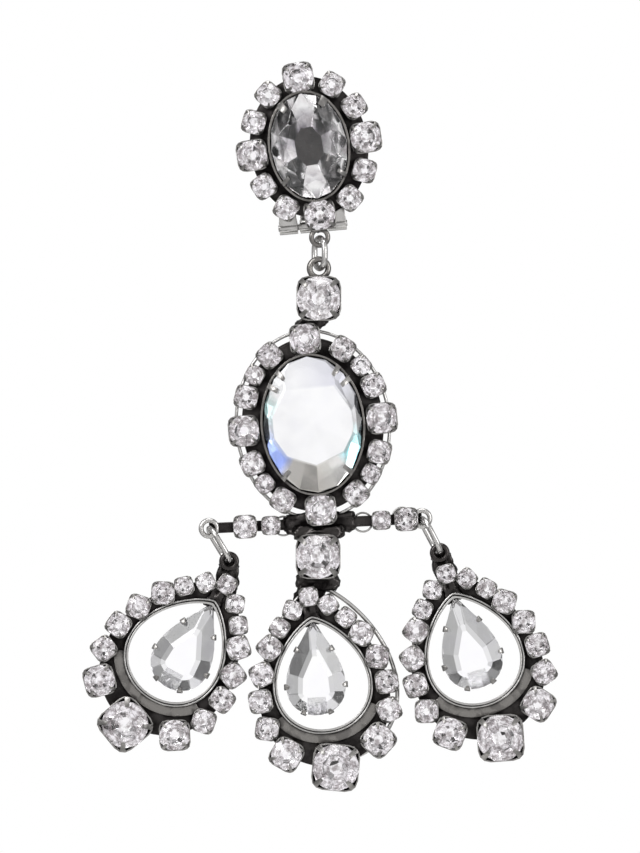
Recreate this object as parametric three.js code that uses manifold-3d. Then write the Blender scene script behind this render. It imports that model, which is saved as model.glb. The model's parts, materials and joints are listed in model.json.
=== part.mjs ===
// Chandelier ear clip: an oval ear cluster with a spring clip, a link ring, an oval
// medallion over a short crossbar, and three pear drops with a pear crystal in each.
// Millimetres. The pieces are drawn face-on (x right, y up, z towards the viewer) and the
// whole group is then turned upright: +X right, -Y towards the viewer, +Z up.
// The origin is the middle of the gap that the ear lobe fills, behind the cluster.
import * as THREE from 'three';
import { mergeVertices } from 'three/addons/utils/BufferGeometryUtils.js';
import Module from 'manifold-3d';

const wasm = await Module();
wasm.setup();

// ---------------------------------------------------------------- driving dimensions

const LOBE_GAP = 5;                 // between the cluster's back plate and the clip's pad
const PLATE = 0.8;                  // thickness of the back plates
const STUD_BACK = LOBE_GAP / 2;     // depth of the cluster's back face
const HANG = STUD_BACK + 1.4;       // depth of the plane in which all loops and frames hang
const STONE_GAP = 0.15;             // between a stone and its cup
const WALL = 0.2;                   // metal around a stone
const CUP_SIDES = 8;
const DOME_SIDES = 6;

// The stones, by diameter. back, girdle and top are depths from the hanging plane.
const ROUND = {
  tiny: { size: 2.5, back: -1.2, girdle: 0.3, top: 0.9 },
  small: { size: 3.1, back: -1.4, girdle: 0.6, top: 1.4 },
  medium: { size: 4.1, back: -1.6, girdle: 0.9, top: 1.9 },
  large: { size: 5.9, back: -1.9, girdle: 1.3, top: 2.7 },
  drop: { size: 6.2, back: -1.9, girdle: 1.3, top: 2.8 },
};
const STUD_OVAL = { width: 10, height: 14, back: -1.4, girdle: 1.8, top: 3.6 };
const MEDALLION_OVAL = { width: 13, height: 18, back: -2.4, girdle: 1.7, top: 3.9 };
const PEAR = { width: 8, height: 12.2, tip: 3.5, back: -0.9, girdle: 0, top: 1.6 };

// Places in the hanging plane; turn is in degrees, anticlockwise as the wearer is faced.
const STUD = { x: 0, y: 0, turn: 9 };
const UPPER_CUP = { x: 1.3, y: -20.05, turn: 0 };
const MEDALLION = { x: 0.5, y: -36.7, turn: 5.3 };
const LOWER_CUP = { x: 1.2, y: -54.1, turn: 0 };
const CUP_HALF = 3.15;              // half the side of the square cups

const STUD_RING = {
  across: 7.6,
  along: 9.14,
  stones: [
    { at: 0, kind: 'medium' }, { at: 28, kind: 'small' }, { at: 56, kind: 'small' },
    { at: 90, kind: 'medium' },
  ],
};
const HALO = {
  across: 9.15,
  along: 11.3,
  stones: [
    { at: 0, kind: 'medium' }, { at: 23, kind: 'small' }, { at: 39.5, kind: 'tiny' },
    { at: 58, kind: 'small' }, { at: 90, kind: 'medium' },
  ],
};
const HALO_WIRE = { across: 10.3, along: 12.6, wide: 0.45 };

// A pear frame: stone centres on a teardrop, by the angle along it from its apex.
const TEARDROP = { length: 22.8, width: 9.85 };
const TEARDROP_OPENING = { from: 3.4, length: 14.3, width: 6.97 };
const TEARDROP_RIM = 0.65;
const TEARDROP_STONES = [
  { at: 0, kind: 'tiny' }, { at: 29, kind: 'tiny' }, { at: 46, kind: 'tiny' },
  { at: 61, kind: 'small' }, { at: 79, kind: 'small' }, { at: 96.5, kind: 'small' },
  { at: 116, kind: 'small' }, { at: 140, kind: 'medium' }, { at: 180, kind: 'drop' },
];
const CENTRE_DROP = { x: -0.05, y: -59.4, turn: 9 };
const LEFT_DROP = { x: -10.85, y: -57.8, turn: -36 };
const RIGHT_DROP = { x: 18.1, y: -56.4, turn: 18.3 };

const LOOP = { radius: 1.22, wire: 0.4 };      // the loops of the link ring's two neighbours
const EYELET = { radius: 1.05, wire: 0.33 };   // crossbar ends and the side drops' tops
const LINK_RING = { long: 2.0, wide: 1.6, wire: 0.4, turn: 25 };
const JUMP_RING = { long: 2.55, wide: 1.8, wire: 0.36, turn: 10 };
const STUD_LOOP = { x: 1.4, y: -12 };
const PENDANT_LOOP = { x: 1.3, y: -16.05 };
const BAR_ENDS = { left: { x: -13.2, y: -50.4 }, right: { x: 14.9, y: -49.1 } };
const RING_LEAN = { left: 31.3, right: 27.4 }; // degrees by which the side rings lean right
const BAR = { height: 1.7, back: -1.1, front: 0.3 };
const BAR_STONES = [
  { along: -9.3, kind: 'small' }, { along: -5.9, kind: 'tiny' },
  { along: 8.7, kind: 'tiny' }, { along: 12.0, kind: 'small' },
];

// The clip: a barrel across the bottom of the cluster, and a lever with a round ear pad.
const BARREL = { x: 0.5, y: -10.4, depth: 1.0, radius: 0.9, length: 8.9, turn: 5, pin: 0.4 };
const LEVER = { width: 3.4, thick: 0.9, pad: 4.4, padY: 0.6, bore: 0.62 };

// ---------------------------------------------------------------- materials

function material(color, metalness, roughness) {
  return new THREE.MeshStandardMaterial({ color, metalness, roughness });
}
const silver = material(0x8a8682, 1, 0.35);
const clearStone = material(0xe9e6e8, 0, 0.05);

// ---------------------------------------------------------------- solids

function solidOf(geometry) {
  const bare = geometry.index ? geometry.toNonIndexed() : geometry.clone();
  for (const name of Object.keys(bare.attributes)) {
    if (name !== 'position') bare.deleteAttribute(name);
  }
  const merged = mergeVertices(bare, 1e-4);
  return new wasm.Manifold(new wasm.Mesh({
    numProp: 3,
    vertProperties: new Float32Array(merged.attributes.position.array),
    triVerts: new Uint32Array(merged.index.array),
  }));
}

function geometryOf(solid) {
  const mesh = solid.getMesh();
  const geometry = new THREE.BufferGeometry();
  geometry.setAttribute('position', new THREE.BufferAttribute(mesh.vertProperties, 3));
  geometry.setIndex(new THREE.BufferAttribute(mesh.triVerts, 1));
  geometry.computeVertexNormals();
  return geometry;
}

function joined(geometries) {
  return geometries.map(solidOf).reduce((all, one) => all.add(one));
}

// Turns a geometry in the hanging plane and moves it to its place.
function placed(geometry, { x = 0, y = 0, z = 0, turn = 0 }) {
  geometry.rotateZ(THREE.MathUtils.degToRad(turn));
  geometry.translate(x, y, z);
  return geometry;
}

// A point of a turned frame, given in the frame's own x and y.
function pointOn(frame, x, y) {
  const angle = THREE.MathUtils.degToRad(frame.turn);
  return {
    x: frame.x + x * Math.cos(angle) - y * Math.sin(angle),
    y: frame.y + x * Math.sin(angle) + y * Math.cos(angle),
  };
}

// ---------------------------------------------------------------- outlines and lofts

function ellipse(across, along, sides) {
  return Array.from({ length: sides }, (_, i) => {
    const angle = (2 * Math.PI * (i + 0.5)) / sides;
    return [across * Math.cos(angle), along * Math.sin(angle)];
  });
}

// The right-hand half-width and the distance down from the tip, at an angle along a teardrop.
function onTeardrop({ length, width }, degrees) {
  const angle = THREE.MathUtils.degToRad(degrees);
  return {
    across: width * Math.sin(angle) * Math.sqrt(Math.sin(angle / 2)),
    down: (length / 2) * (1 - Math.cos(angle)),
  };
}

function teardrop(shape, from, steps) {
  const right = [];
  for (let i = 0; i <= steps; i += 1) right.push(onTeardrop(shape, (180 * i) / steps));
  const left = right.slice(1, -1).map(({ across, down }) => [-across, -from - down]);
  return right.reverse().map(({ across, down }) => [across, -from - down]).concat(left);
}

function scaled(outline, factor, [cx, cy] = [0, 0]) {
  return outline.map(([x, y]) => [cx + (x - cx) * factor, cy + (y - cy) * factor]);
}

// A closed body through sections of equally many points, from the back to the front.
function loft(sections) {
  const count = sections[0].outline.length;
  const positions = sections.flatMap(({ outline, z }) => outline.flatMap(([x, y]) => [x, y, z]));
  const faces = [];
  for (let s = 0; s + 1 < sections.length; s += 1) {
    for (let i = 0; i < count; i += 1) {
      const a = s * count + i;
      const b = s * count + ((i + 1) % count);
      faces.push(a, b, b + count, a, b + count, a + count);
    }
  }
  const last = (sections.length - 1) * count;
  for (let i = 1; i + 1 < count; i += 1) {
    faces.push(0, i + 1, i);
    faces.push(last, last + i, last + i + 1);
  }
  const geometry = new THREE.BufferGeometry();
  geometry.setAttribute('position', new THREE.Float32BufferAttribute(positions, 3));
  geometry.setIndex(faces);
  return geometry;
}

function slab(outline, back, front) {
  return loft([{ outline, z: back }, { outline, z: front }]);
}

// A flat ring between two outlines.
function band(outer, inner, back, front) {
  const shape = new THREE.Shape(outer.map(([x, y]) => new THREE.Vector2(x, y)));
  shape.holes.push(new THREE.Path(inner.map(([x, y]) => new THREE.Vector2(x, y))));
  const geometry = new THREE.ExtrudeGeometry(shape, { depth: front - back, bevelEnabled: false });
  return geometry.translate(0, 0, back);
}

// An oval ring of round wire, drawn edge-on: long along y, wide along z.
function wireRing({ long, wide, wire }, steps, sides) {
  const positions = [];
  const faces = [];
  for (let i = 0; i < steps; i += 1) {
    const angle = (2 * Math.PI * i) / steps;
    const outward = new THREE.Vector2(wide * Math.cos(angle), long * Math.sin(angle)).normalize();
    for (let j = 0; j < sides; j += 1) {
      const around = (2 * Math.PI * j) / sides;
      const reach = wire * Math.cos(around);
      positions.push(
        wire * Math.sin(around),
        long * Math.cos(angle) + reach * outward.x,
        wide * Math.sin(angle) + reach * outward.y,
      );
      const a = i * sides + j;
      const b = i * sides + ((j + 1) % sides);
      const [c, d] = [a, b].map((corner) => (corner + sides) % (steps * sides));
      faces.push(a, d, b, a, c, d);
    }
  }
  const geometry = new THREE.BufferGeometry();
  geometry.setAttribute('position', new THREE.Float32BufferAttribute(positions, 3));
  geometry.setIndex(faces);
  return geometry;
}

// A round loop of wire that faces the viewer.
function loop({ radius, wire }, at) {
  return placed(new THREE.TorusGeometry(radius, wire, 7, 14), { ...at, z: HANG });
}

// ---------------------------------------------------------------- stones and cups

const TABLE = 0.58;   // the flat top of a stone, as a share of its width
const CULET = 0.25;   // the flat at the back of a stone, as a share of its width

function stoneSections(outline, kind, centre) {
  const depth = kind.back + PLATE / 2 + STONE_GAP;
  return [
    { outline: scaled(outline, CULET, centre), z: HANG + depth },
    { outline, z: HANG + kind.girdle },
    { outline: scaled(outline, TABLE, centre), z: HANG + kind.top },
  ];
}

function roundOutline(size, sides = CUP_SIDES) {
  return ellipse(size / 2, size / 2, sides);
}

function stone(outline, kind, place, centre) {
  return placed(loft(stoneSections(outline, kind, centre)), place);
}

// A cup with its recess: the outline is the stone's, the metal stands WALL outside it.
function cupAround(outer, outline, kind, place, backShare) {
  const rim = HANG + kind.girdle;
  const body = solidOf(placed(loft([
    { outline: scaled(outer, backShare), z: HANG + kind.back },
    { outline: outer, z: rim },
  ]), place));
  const room = 1 + (2 * STONE_GAP) / kind.size;
  const recess = solidOf(placed(loft([
    { outline: scaled(outline, CULET * room), z: HANG + kind.back + PLATE / 2 },
    { outline: scaled(outline, room), z: rim },
    { outline: scaled(outline, room), z: rim + 1 },
  ]), place));
  return { body, recess };
}

// A small stone that is part of the paved metal: cup and stone in one dome.
function dome(kind, place) {
  const { size, back, girdle, top } = kind;
  const outer = roundOutline(size + 2 * WALL, DOME_SIDES);
  return placed(loft([
    { outline: scaled(outer, 0.8), z: HANG + back },
    { outline: outer, z: HANG + girdle },
    { outline: scaled(outer, TABLE), z: HANG + top },
  ]), place);
}

// The cups and domes of one frame, and the separate stones that sit in it.
class Setting {
  constructor() {
    this.metal = [];
    this.recesses = [];
    this.stones = [];
  }

  add(geometry) {
    this.metal.push(solidOf(geometry));
  }

  cut(geometry) {
    this.recesses.push(solidOf(geometry));
  }

  // A round stone: paved when it is small, a piece of its own when it has a name.
  round(kindName, place, name) {
    const kind = ROUND[kindName];
    if (!name) {
      this.add(dome(kind, place));
      return;
    }
    const outline = roundOutline(kind.size);
    const outer = roundOutline(kind.size + 2 * WALL);
    this.cup(outer, outline, kind, place, 0.8);
    this.stones.push({ name, geometry: stone(outline, kind, place) });
  }

  cup(outer, outline, kind, place, backShare) {
    const { body, recess } = cupAround(outer, outline, kind, place, backShare);
    this.metal.push(body);
    this.recesses.push(recess);
  }

  geometry() {
    const whole = this.metal.reduce((all, one) => all.add(one));
    return geometryOf(this.recesses.reduce((all, one) => all.subtract(one), whole));
  }
}

// The oval crystal of a cluster and the ring of round stones about it.
const SIDE_NAMES = { 0: 'right', 90: 'top', 180: 'left', 270: 'bottom' };

function cluster(setting, frame, oval, ring, prefix) {
  const outline = ellipse(oval.width / 2, oval.height / 2, 16);
  const outer = ellipse(oval.width / 2 + WALL, oval.height / 2 + WALL, 16);
  const kind = { ...oval, size: oval.width };
  setting.cup(outer, outline, kind, frame, 0.9);
  setting.stones.push({ name: `${prefix}_oval_stone`, geometry: stone(outline, kind, frame) });
  const plate = ellipse(ring.across + 0.3, ring.along + 0.3, 24);
  setting.add(placed(slab(plate, HANG + STUD_OVAL.back, HANG + STUD_OVAL.back + PLATE), frame));
  const angles = ring.stones.flatMap(({ at, kind: kindName }) => {
    const mirrored = [at, 180 - at, 180 + at, 360 - at].map((angle) => (angle + 360) % 360);
    return [...new Set(mirrored)].map((angle) => ({ angle, kindName }));
  });
  for (const { angle, kindName } of angles) {
    const t = THREE.MathUtils.degToRad(angle);
    const at = pointOn(frame, ring.across * Math.cos(t), ring.along * Math.sin(t));
    const side = SIDE_NAMES[angle];
    const name = side && `${prefix}_stone_${side}`;
    setting.round(kindName, { ...at, turn: frame.turn + angle }, name);
  }
}

// ---------------------------------------------------------------- pear drops

function pearOutline() {
  const shape = { length: PEAR.height, width: PEAR.width / 2 / 0.832 };
  return teardrop(shape, PEAR.tip, 10);
}

function pearFrame(setting, frame, prefix) {
  const opening = { length: TEARDROP_OPENING.length, width: TEARDROP_OPENING.width };
  const inner = teardrop(opening, TEARDROP_OPENING.from, 16);
  const rim = teardrop(
    { length: opening.length + 2.4 * TEARDROP_RIM, width: opening.width + 1.2 * TEARDROP_RIM },
    TEARDROP_OPENING.from - 1.4 * TEARDROP_RIM,
    16,
  );
  const plate = teardrop({ length: TEARDROP.length, width: TEARDROP.width + 0.2 }, -0.2, 16);
  setting.add(placed(band(plate, inner, HANG - 1.2, HANG - 0.4), frame));
  setting.add(placed(band(rim, inner, HANG - 1.2, HANG + 0.2), frame));
  for (const { at, kind } of TEARDROP_STONES) {
    const { across, down } = onTeardrop(TEARDROP, at);
    const sides = across < 0.01 ? [0] : [-1, 1];
    for (const side of sides) {
      const place = { ...pointOn(frame, side * across, -down), turn: frame.turn + side * at };
      const own = { medium: side < 0 ? 'a' : 'b', drop: 'big' }[kind];
      setting.round(kind, place, own && `${prefix}_drop_stone_${own}`);
    }
  }
  // the open setting that carries the crystal from the apex
  const crystal = pearOutline();
  const middle = [0, -PEAR.tip - 0.6 * PEAR.height];
  const gallery = band(
    scaled(crystal, 0.94, middle),
    scaled(crystal, 0.74, middle),
    HANG - 1.7,
    HANG - 1.1,
  );
  setting.add(placed(gallery, frame));
  const neck = new THREE.BoxGeometry(1.5, 4.4, 0.9).translate(0, -3.4, HANG - 1.25);
  setting.add(placed(neck, frame));
  const kind = { ...PEAR, back: PEAR.back - PLATE / 2 - STONE_GAP };
  setting.stones.push({
    name: `${prefix}_pear_stone`,
    geometry: stone(crystal, kind, frame, middle),
  });
}

// A side drop: its pear frame, and the eyelet by which it hangs.
function sideDrop(frame, hangsFrom, prefix) {
  const setting = new Setting();
  pearFrame(setting, frame, prefix);
  setting.add(loop(EYELET, hangsFrom));
  setting.add(bar(
    pointTowards(hangsFrom, frame, EYELET.radius),
    pointOn(frame, 0, -0.4),
    { width: 1.5, back: -1.1, front: 0.2 },
  ));
  return setting;
}

// ---------------------------------------------------------------- bars, rings and the clip

function pointTowards(from, to, distance) {
  const length = Math.hypot(to.x - from.x, to.y - from.y);
  return {
    x: from.x + ((to.x - from.x) * distance) / length,
    y: from.y + ((to.y - from.y) * distance) / length,
  };
}

// A flat bar from one point of the hanging plane to another.
function bar(from, to, { width, back, front }) {
  const length = Math.hypot(to.x - from.x, to.y - from.y);
  const turn = THREE.MathUtils.radToDeg(Math.atan2(to.y - from.y, to.x - from.x));
  const middle = { x: (from.x + to.x) / 2, y: (from.y + to.y) / 2, turn };
  const geometry = new THREE.BoxGeometry(length, width, front - back);
  return placed(geometry.translate(0, 0, HANG + (back + front) / 2), middle);
}

function ringBetween(top, lean, ring) {
  const geometry = wireRing(ring, 18, 7);
  geometry.rotateY(THREE.MathUtils.degToRad(ring.turn));
  geometry.translate(0, -ring.long, HANG);
  return placed(geometry, { ...top, turn: lean });
}

function ringBottom(top, lean, ring) {
  return pointOn({ ...top, turn: lean }, 0, -2 * ring.long);
}

// A round bar across the bottom of the cluster, centred by x along the barrel's axis.
function barrelPiece(from, to, radius, sides) {
  const geometry = new THREE.CylinderGeometry(radius, radius, to - from, sides);
  geometry.rotateZ(Math.PI / 2).translate((from + to) / 2, 0, 0);
  return placed(geometry, { ...BARREL, z: BARREL.depth });
}

function stud() {
  const setting = new Setting();
  cluster(setting, STUD, STUD_OVAL, STUD_RING, 'stud');
  setting.add(loop(LOOP, STUD_LOOP));
  const half = BARREL.length / 2;
  const knuckle = half - LEVER.width / 2 - 0.3;
  setting.add(barrelPiece(-half, half, BARREL.pin, 8));
  for (const [from, to] of [[-half, -half + knuckle], [half - knuckle, half]]) {
    setting.add(barrelPiece(from, to, BARREL.radius, 10));
    const tab = new THREE.BoxGeometry(to - from, 3.6, STUD_BACK + 0.4 - BARREL.depth);
    tab.translate((from + to) / 2, 1.8, (STUD_BACK + 0.4 - BARREL.depth) / 2);
    setting.add(placed(tab, { ...BARREL, z: BARREL.depth }));
  }
  return setting;
}

// The lever: from its barrel back and up behind the lobe, ending in the round ear pad.
function clipLever() {
  const pad = -LOBE_GAP / 2;
  const foot = BARREL.y - BARREL.radius;
  const side = [
    [BARREL.depth - 0.4, foot + 0.1], [pad - LEVER.thick + 0.3, foot + 1.2],
    [pad - LEVER.thick, foot + 3], [pad - LEVER.thick, LEVER.padY + 3],
    [pad, LEVER.padY + 3], [pad, foot + 3.6],
    [BARREL.depth - 0.75, foot + 1.5],
  ];
  const shape = new THREE.Shape(side.map(([depth, y]) => new THREE.Vector2(depth, y)));
  const arm = new THREE.ExtrudeGeometry(shape, { depth: LEVER.width, bevelEnabled: false });
  arm.translate(0, 0, -LEVER.width / 2).rotateY(-Math.PI / 2).translate(BARREL.x, 0, 0);
  const plate = slab(ellipse(LEVER.pad, LEVER.pad, 20), pad - LEVER.thick, pad);
  const paddle = placed(plate, { x: BARREL.x, y: LEVER.padY });
  const half = LEVER.width / 2;
  const barrel = barrelPiece(-half, half, BARREL.radius, 10);
  const bore = barrelPiece(-half - 1, half + 1, LEVER.bore, 10);
  return geometryOf(joined([arm, paddle, barrel]).subtract(solidOf(bore)));
}

function pendant() {
  const setting = new Setting();
  cluster(setting, MEDALLION, MEDALLION_OVAL, HALO, 'medallion');
  const { across, along, wide } = HALO_WIRE;
  const wire = band(
    ellipse(across, along, 32),
    ellipse(across - wide, along - wide, 32),
    HANG - 1.4,
    HANG - 0.9,
  );
  setting.add(placed(wire, MEDALLION));
  for (const [place, name] of [[UPPER_CUP, 'upper'], [LOWER_CUP, 'lower']]) {
    const outline = roundOutline(ROUND.large.size);
    const corner = CUP_HALF - 0.9;
    const outer = [
      [CUP_HALF, -corner], [CUP_HALF, corner], [corner, CUP_HALF], [-corner, CUP_HALF],
      [-CUP_HALF, corner], [-CUP_HALF, -corner], [-corner, -CUP_HALF], [corner, -CUP_HALF],
    ];
    setting.cup(outer, outline, ROUND.large, place, 0.8);
    setting.stones.push({
      name: `${name}_connector_stone`,
      geometry: stone(outline, ROUND.large, place),
    });
  }
  setting.add(loop(LOOP, PENDANT_LOOP));
  const middle = { x: (BAR_ENDS.left.x + BAR_ENDS.right.x) / 2, y: -49.75 };
  const { left, right } = BAR_ENDS;
  setting.add(bar(
    pointTowards(left, right, EYELET.radius),
    pointTowards(right, left, EYELET.radius),
    { width: BAR.height, back: BAR.back, front: BAR.front },
  ));
  setting.add(loop(EYELET, left));
  setting.add(loop(EYELET, right));
  const turn = THREE.MathUtils.radToDeg(Math.atan2(right.y - left.y, right.x - left.x));
  for (const { along: x, kind } of BAR_STONES) {
    setting.round(kind, { ...pointOn({ ...middle, turn }, x, 0), turn });
  }
  // solder between the medallion, the crossbar, the lower cup and the middle drop
  setting.add(bar({ x: -1.8, y: -49.6 }, { x: 4.2, y: -49.4 }, { width: 3.4, back: -1.4, front: 0.2 }));
  setting.add(bar({ x: 0.4, y: -56.6 }, { x: -0.1, y: -59 }, { width: 2.4, back: -1.4, front: 0 }));
  setting.add(bar({ x: 1.2, y: -22.6 }, { x: -0.4, y: -24.6 }, { width: 2.4, back: -1.4, front: 0 }));
  pearFrame(setting, CENTRE_DROP, 'centre');
  return setting;
}

// ---------------------------------------------------------------- the earring

const earring = new THREE.Group();
earring.rotation.x = Math.PI / 2;

function addMesh(name, geometry, look) {
  const mesh = new THREE.Mesh(geometry, look.clone());
  mesh.name = name;
  earring.add(mesh);
}

function addSetting(name, setting) {
  addMesh(name, setting.geometry(), silver);
  for (const { name: stoneName, geometry } of setting.stones) {
    addMesh(stoneName, geometry, clearStone);
  }
}

const leftHook = ringBottom(BAR_ENDS.left, RING_LEAN.left, JUMP_RING);
const rightHook = ringBottom(BAR_ENDS.right, RING_LEAN.right, JUMP_RING);

addSetting('stud_frame', stud());
addMesh('clip_lever', clipLever(), silver);
addMesh('link_ring', ringBetween({ x: STUD_LOOP.x, y: STUD_LOOP.y - 0.1 }, 0, LINK_RING), silver);
addSetting('pendant_frame', pendant());
addMesh('left_ring', ringBetween(BAR_ENDS.left, RING_LEAN.left, JUMP_RING), silver);
addMesh('right_ring', ringBetween(BAR_ENDS.right, RING_LEAN.right, JUMP_RING), silver);
addSetting('left_drop_frame', sideDrop(LEFT_DROP, leftHook, 'left'));
addSetting('right_drop_frame', sideDrop(RIGHT_DROP, rightHook, 'right'));

export default earring;
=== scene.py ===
# %% [markdown]
# # A chandelier ear clip
#
# The CAD frame says where every piece of this earring hangs. This script dresses it: claw cups,
# cut stones with foil behind them, wires, rings and the spring clip, in metal that has gone dark
# in its hollows. Everything is modelled lying on a bench, in millimetres, with x to the right,
# y up and z towards the viewer, and is then stood up and moved to its place in metres.

import json
import math
import random
from collections import namedtuple

import bmesh
import bpy
from mathutils import Matrix, Vector


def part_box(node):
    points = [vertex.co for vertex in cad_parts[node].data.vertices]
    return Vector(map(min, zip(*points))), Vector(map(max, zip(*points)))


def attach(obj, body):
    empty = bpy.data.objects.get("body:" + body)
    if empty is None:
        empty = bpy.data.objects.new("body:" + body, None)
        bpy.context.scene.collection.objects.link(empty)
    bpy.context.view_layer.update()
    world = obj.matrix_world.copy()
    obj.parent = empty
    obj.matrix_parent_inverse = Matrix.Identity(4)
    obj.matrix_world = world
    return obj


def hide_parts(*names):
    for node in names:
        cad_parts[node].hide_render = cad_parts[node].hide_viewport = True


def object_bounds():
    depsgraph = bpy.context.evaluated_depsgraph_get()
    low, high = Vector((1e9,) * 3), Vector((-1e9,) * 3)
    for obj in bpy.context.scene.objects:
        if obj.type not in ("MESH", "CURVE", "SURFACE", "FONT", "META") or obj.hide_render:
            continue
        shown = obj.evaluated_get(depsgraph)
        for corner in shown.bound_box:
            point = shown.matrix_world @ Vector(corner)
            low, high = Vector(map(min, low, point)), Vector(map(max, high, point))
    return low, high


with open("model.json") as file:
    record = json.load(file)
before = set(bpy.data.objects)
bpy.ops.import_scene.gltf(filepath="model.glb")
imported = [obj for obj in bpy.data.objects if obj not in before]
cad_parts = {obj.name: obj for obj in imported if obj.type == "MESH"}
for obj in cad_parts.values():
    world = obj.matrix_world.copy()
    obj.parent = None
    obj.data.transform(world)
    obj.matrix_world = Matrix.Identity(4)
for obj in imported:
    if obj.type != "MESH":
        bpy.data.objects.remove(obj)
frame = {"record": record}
cad_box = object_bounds()
print("the CAD box is", [round(float(side), 4) for side in cad_box[1] - cad_box[0]], "metres")

# %% [markdown]
# ## From the bench to the ear
#
# A place is a point of the hanging plane with a turn. The two named places that a cluster's turn
# is worked out from are its own stones, so the looks can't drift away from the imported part.

# %% Places
MM = 0.001
Place = namedtuple("Place", "x y depth turn")
JOINTS = {joint["name"]: joint for joint in frame["record"]["behaviour"]["joints"]}


def face_on(point):
    return Vector((point[0], point[2], -point[1])) / MM


def centre_of(node):
    low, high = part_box(node)
    return face_on([(a + b) / 2 for a, b in zip(low, high)])


def joint_at(name):
    return face_on(JOINTS[name]["pos_m"])


def heading(start, end):
    return math.degrees(math.atan2(end.y - start.y, end.x - start.x))


def on(place, x, y, rise=0.0, turn=0.0):
    """A place given in the own directions of another one."""
    angle = math.radians(place.turn)
    return Place(
        place.x + x * math.cos(angle) - y * math.sin(angle),
        place.y + x * math.sin(angle) + y * math.cos(angle),
        place.depth + rise,
        place.turn + turn,
    )


def stood_up(place):
    """The matrix that takes a piece from the bench to its place."""
    upright = Matrix.Rotation(math.radians(90), 4, "X")
    turned = Matrix.Rotation(math.radians(place.turn), 4, "Z")
    moved = Matrix.Translation((place.x, place.y, place.depth))
    return Matrix.Scale(MM, 4) @ upright @ moved @ turned


HANG = joint_at("left_ring_swing").z


def hung(point, turn=0.0):
    """A point of the bench as a place in the hanging plane."""
    return Place(point.x, point.y, HANG, turn)


print("everything hangs in the plane", round(HANG, 2), "mm in front of the lobe's middle")

# %% [markdown]
# ## The layout
#
# The stones come in five sizes. Each row says how high its girdle, the stone's widest line,
# stands over the hanging plane, and how deep its cup is. The rings of stones follow ellipses and
# teardrops, so a stone's place is one angle.

# %% Stone sizes and rings
Kind = namedtuple("Kind", "size girdle depth")
KINDS = {
    "tiny": Kind(2.5, 0.3, 1.5),
    "small": Kind(3.1, 0.6, 2.0),
    "medium": Kind(4.1, 0.9, 2.5),
    "large": Kind(5.9, 1.3, 3.2),
    "drop": Kind(6.2, 1.3, 3.2),
}
STUD_RING = {"across": 7.6, "along": 9.14,
             "stones": ((0, "medium"), (28, "small"), (56, "small"), (90, "medium"))}
HALO = {"across": 9.15, "along": 11.3,
        "stones": ((0, "medium"), (23, "small"), (39.5, "tiny"), (58, "small"), (90, "medium"))}
PEAR_STONES = ((0, "tiny"), (29, "tiny"), (46, "tiny"), (61, "small"), (79, "small"),
               (96.5, "small"), (116, "small"), (140, "medium"), (180, "drop"))
BAR_STONES = ((-9.3, "small"), (-5.9, "tiny"), (8.7, "tiny"), (12.0, "small"))
Teardrop = namedtuple("Teardrop", "tip length width belly", defaults=(0.5,))
STONE_LINE = Teardrop(0.0, 22.8, 9.85)
OPENING = Teardrop(3.4, 14.3, 6.97)
CRYSTAL = Teardrop(3.3, 12.4, 5.3, 1.2)
CRYSTAL_TURNS = {"left": 7, "centre": -6, "right": -1.5}


def on_teardrop(shape, degrees):
    """A point along a teardrop, from its tip at 0 round by the right to the tip again."""
    angle = math.radians(degrees)
    across = shape.width * math.sin(angle) * abs(math.sin(angle / 2)) ** shape.belly
    return across, -shape.tip - shape.length / 2 * (1 - math.cos(angle))


def ellipse_stones(ring):
    """Angle and kind of each stone of a ring that is the same in all four quarters."""
    found = {}
    for angle, kind in ring["stones"]:
        for mirrored in (angle, 180 - angle, 180 + angle, 360 - angle):
            found[mirrored % 360] = kind
    return sorted(found.items())


def cluster_place(prefix):
    middle = centre_of(f"{prefix}_oval_stone")
    top, bottom = centre_of(f"{prefix}_stone_top"), centre_of(f"{prefix}_stone_bottom")
    return hung(middle, heading(bottom, top) - 90)


def drop_place(prefix):
    """The apex and the turn of a pear frame, from the three largest stones round its foot."""
    side_a, side_b = centre_of(f"{prefix}_drop_stone_a"), centre_of(f"{prefix}_drop_stone_b")
    foot = centre_of(f"{prefix}_drop_stone_big")
    return on(hung(foot, heading(side_a, side_b)), 0, STONE_LINE.length)


STUD = cluster_place("stud")
MEDALLION = cluster_place("medallion")
DROPS = {name: drop_place(name) for name in ("left", "centre", "right")}
for name, place in [("stud", STUD), ("medallion", MEDALLION), *DROPS.items()]:
    print(name, "at", round(place.x, 2), round(place.y, 2), "turned", round(place.turn, 1))

# %% [markdown]
# ## Camera, light and floor
#
# A long lens straight in front keeps the jewel free of perspective. The light is one big white
# tent with a few darker panels in it, because a cut stone is only as lively as the contrast
# around it. The camera sees plain white, and a small pale floor lies well below the earring.

# %% Camera
low, high = (Vector(corner) for corner in cad_box)
middle = (low + high) / 2
CAMERA_AWAY, HEIGHT_SHOWN = 1.3, 1.17 * (high.z - low.z)
bpy.ops.object.select_all(action="DESELECT")
bpy.ops.object.camera_add(
    location=(middle.x, middle.y - CAMERA_AWAY, middle.z), rotation=(math.radians(90), 0, 0)
)
camera = bpy.context.object
camera.data.lens = camera.data.sensor_width * CAMERA_AWAY / HEIGHT_SHOWN
camera.data.clip_start, camera.data.clip_end = 0.05, 10
bpy.context.scene.camera = camera
print("lens", round(camera.data.lens), "mm, showing", round(HEIGHT_SHOWN / MM), "mm of height")

# %% Soft boxes
def soft_box(name, place, towards, width, height, watts):
    bpy.ops.object.select_all(action="DESELECT")
    bpy.ops.object.light_add(type="AREA", location=place)
    lamp = bpy.context.object
    lamp.name = name
    lamp.data.shape = "RECTANGLE"
    lamp.data.size, lamp.data.size_y = width, height
    lamp.data.energy = watts
    lamp.rotation_euler = (Vector(towards) - Vector(place)).to_track_quat("-Z", "Y").to_euler()


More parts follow.
